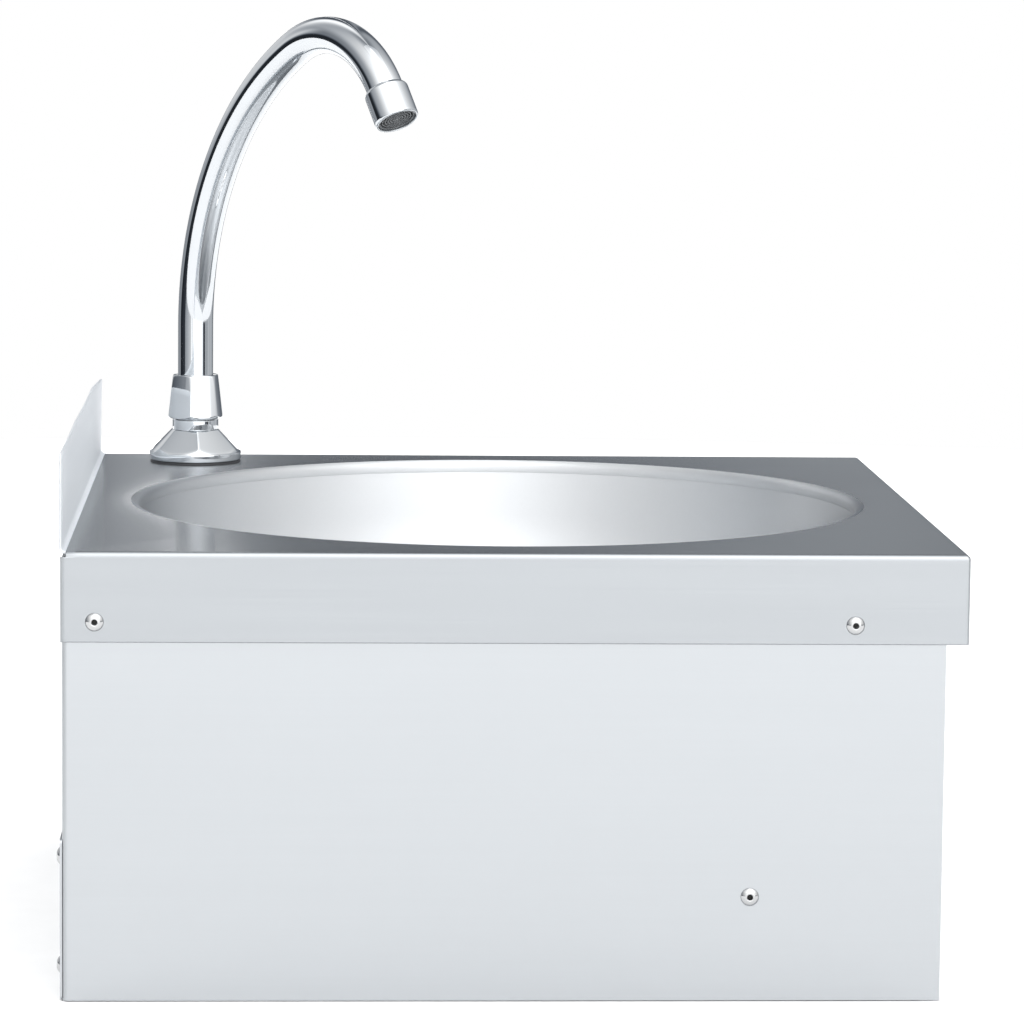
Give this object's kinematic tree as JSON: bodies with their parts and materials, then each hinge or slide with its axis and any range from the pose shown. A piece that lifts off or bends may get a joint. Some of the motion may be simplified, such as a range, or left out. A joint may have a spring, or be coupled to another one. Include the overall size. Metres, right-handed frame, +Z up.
{
  "type": "knee-operated handwash sink",
  "caption": "Small wall-hung stainless handwash sink with a round bowl, a swivelling swan-neck spout and a hinged knee panel that works a self-closing water valve.",
  "frame": {"origin": "under the middle of the casing, at its bottom edge", "axes": "+Z up; the user stands at -Y and the wall is at +Y; +X is the user's right, where the tap is"},
  "size_m": [0.404, 0.402, 0.4299],
  "materials": {
    "deck_steel": "fine straight brushing, satin",
    "bowl_steel": "spun satin",
    "casing_steel": "pale satin",
    "panel_steel": "pale satin",
    "bracket_steel": "mill finish",
    "rivet_steel": "bright",
    "polished_steel": "polished",
    "zinc_steel": "zinc plated",
    "spring_steel": "drawn wire",
    "hose_braid": "woven stainless braid",
    "tap_chrome": "polished chrome",
    "button_chrome": "polished chrome",
    "nickel_brass": "nickel plated",
    "brass": "cast and machined",
    "black_rubber": "matt",
    "black_nylon": "moulded",
    "white_nylon": "moulded",
    "white_plastic": "moulded",
    "grey_plastic": "moulded"
  },
  "bodies": {
    "cabinet": {"back_rivets": "rivet_steel", "bracket_rivets": "rivet_steel", "deck_rivets": "rivet_steel", "hinge_rod": "polished_steel", "hinge_rod_clips": "zinc_steel", "hose_ferrules": "polished_steel", "hose_nut_tap": "nickel_brass", "hose_nut_valve": "nickel_brass", "hose_washers": "black_rubber", "lower_back_plate": "casing_steel", "side_panel_left": "casing_steel", "side_panel_right": "casing_steel", "sink_bowl": "bowl_steel", "sink_deck": "deck_steel", "spout_nut": "tap_chrome", "stop_brackets": "bracket_steel", "stop_bumpers": "black_rubber", "strainer_flange": "polished_steel", "supply_hose": "hose_braid", "tap_backnut": "brass", "tap_base": "tap_chrome", "tap_gasket": "black_rubber", "tap_steel_washer": "zinc_steel", "tap_under_washer": "black_rubber", "upper_wall_rail": "casing_steel", "valve_body": "brass", "valve_bracket": "bracket_steel", "valve_end_cap": "brass", "valve_locknut": "nickel_brass", "valve_spring": "spring_steel", "valve_stem_guide": "white_nylon", "valve_stem_seal": "black_rubber", "waste_backnut": "white_plastic", "waste_body": "white_plastic", "waste_screw": "polished_steel", "waste_top_gasket": "black_rubber", "waste_under_washer": "black_rubber"},
    "spout": {"spout_tube": "tap_chrome", "spout_foot": "brass", "spout_orings": "black_rubber", "spout_slip_ring": "white_nylon", "aerator_housing": "tap_chrome", "aerator_washer": "black_rubber", "aerator_insert": "grey_plastic"},
    "knee_panel": {"knee_panel": "panel_steel", "striker_pad": "black_nylon", "hinge_bushes": "white_nylon"},
    "valve_button": {"push_button": "button_chrome", "valve_plunger": "polished_steel", "valve_seal_washer": "black_rubber"}
  },
  "joints": [
    {"name": "spout_swivel", "type": "hinge", "parent": "cabinet", "child": "spout", "pos_m": [0.164, 0.149, 0.232], "axis": [0, 0, 1], "range_deg": [-45, 150]},
    {"name": "knee_panel_hinge", "type": "hinge", "parent": "cabinet", "child": "knee_panel", "pos_m": [0, -0.182, 0.176], "axis": [1, 0, 0], "range_deg": [0, 3.55], "stiffness_Nm_per_rad": 6, "springref_deg": -2.86},
    {"name": "valve_button_slide", "type": "slide", "parent": "cabinet", "child": "valve_button", "axis": [0, 1, 0], "range_m": [0, 0.00805], "stiffness_N_per_m": 600, "springref_m": -0.012, "deforming": ["valve_spring"]}
  ],
  "couplings": [
    {"joint": "valve_button_slide", "follows": "knee_panel_hinge", "m_per_rad": 0.1293}
  ]
}
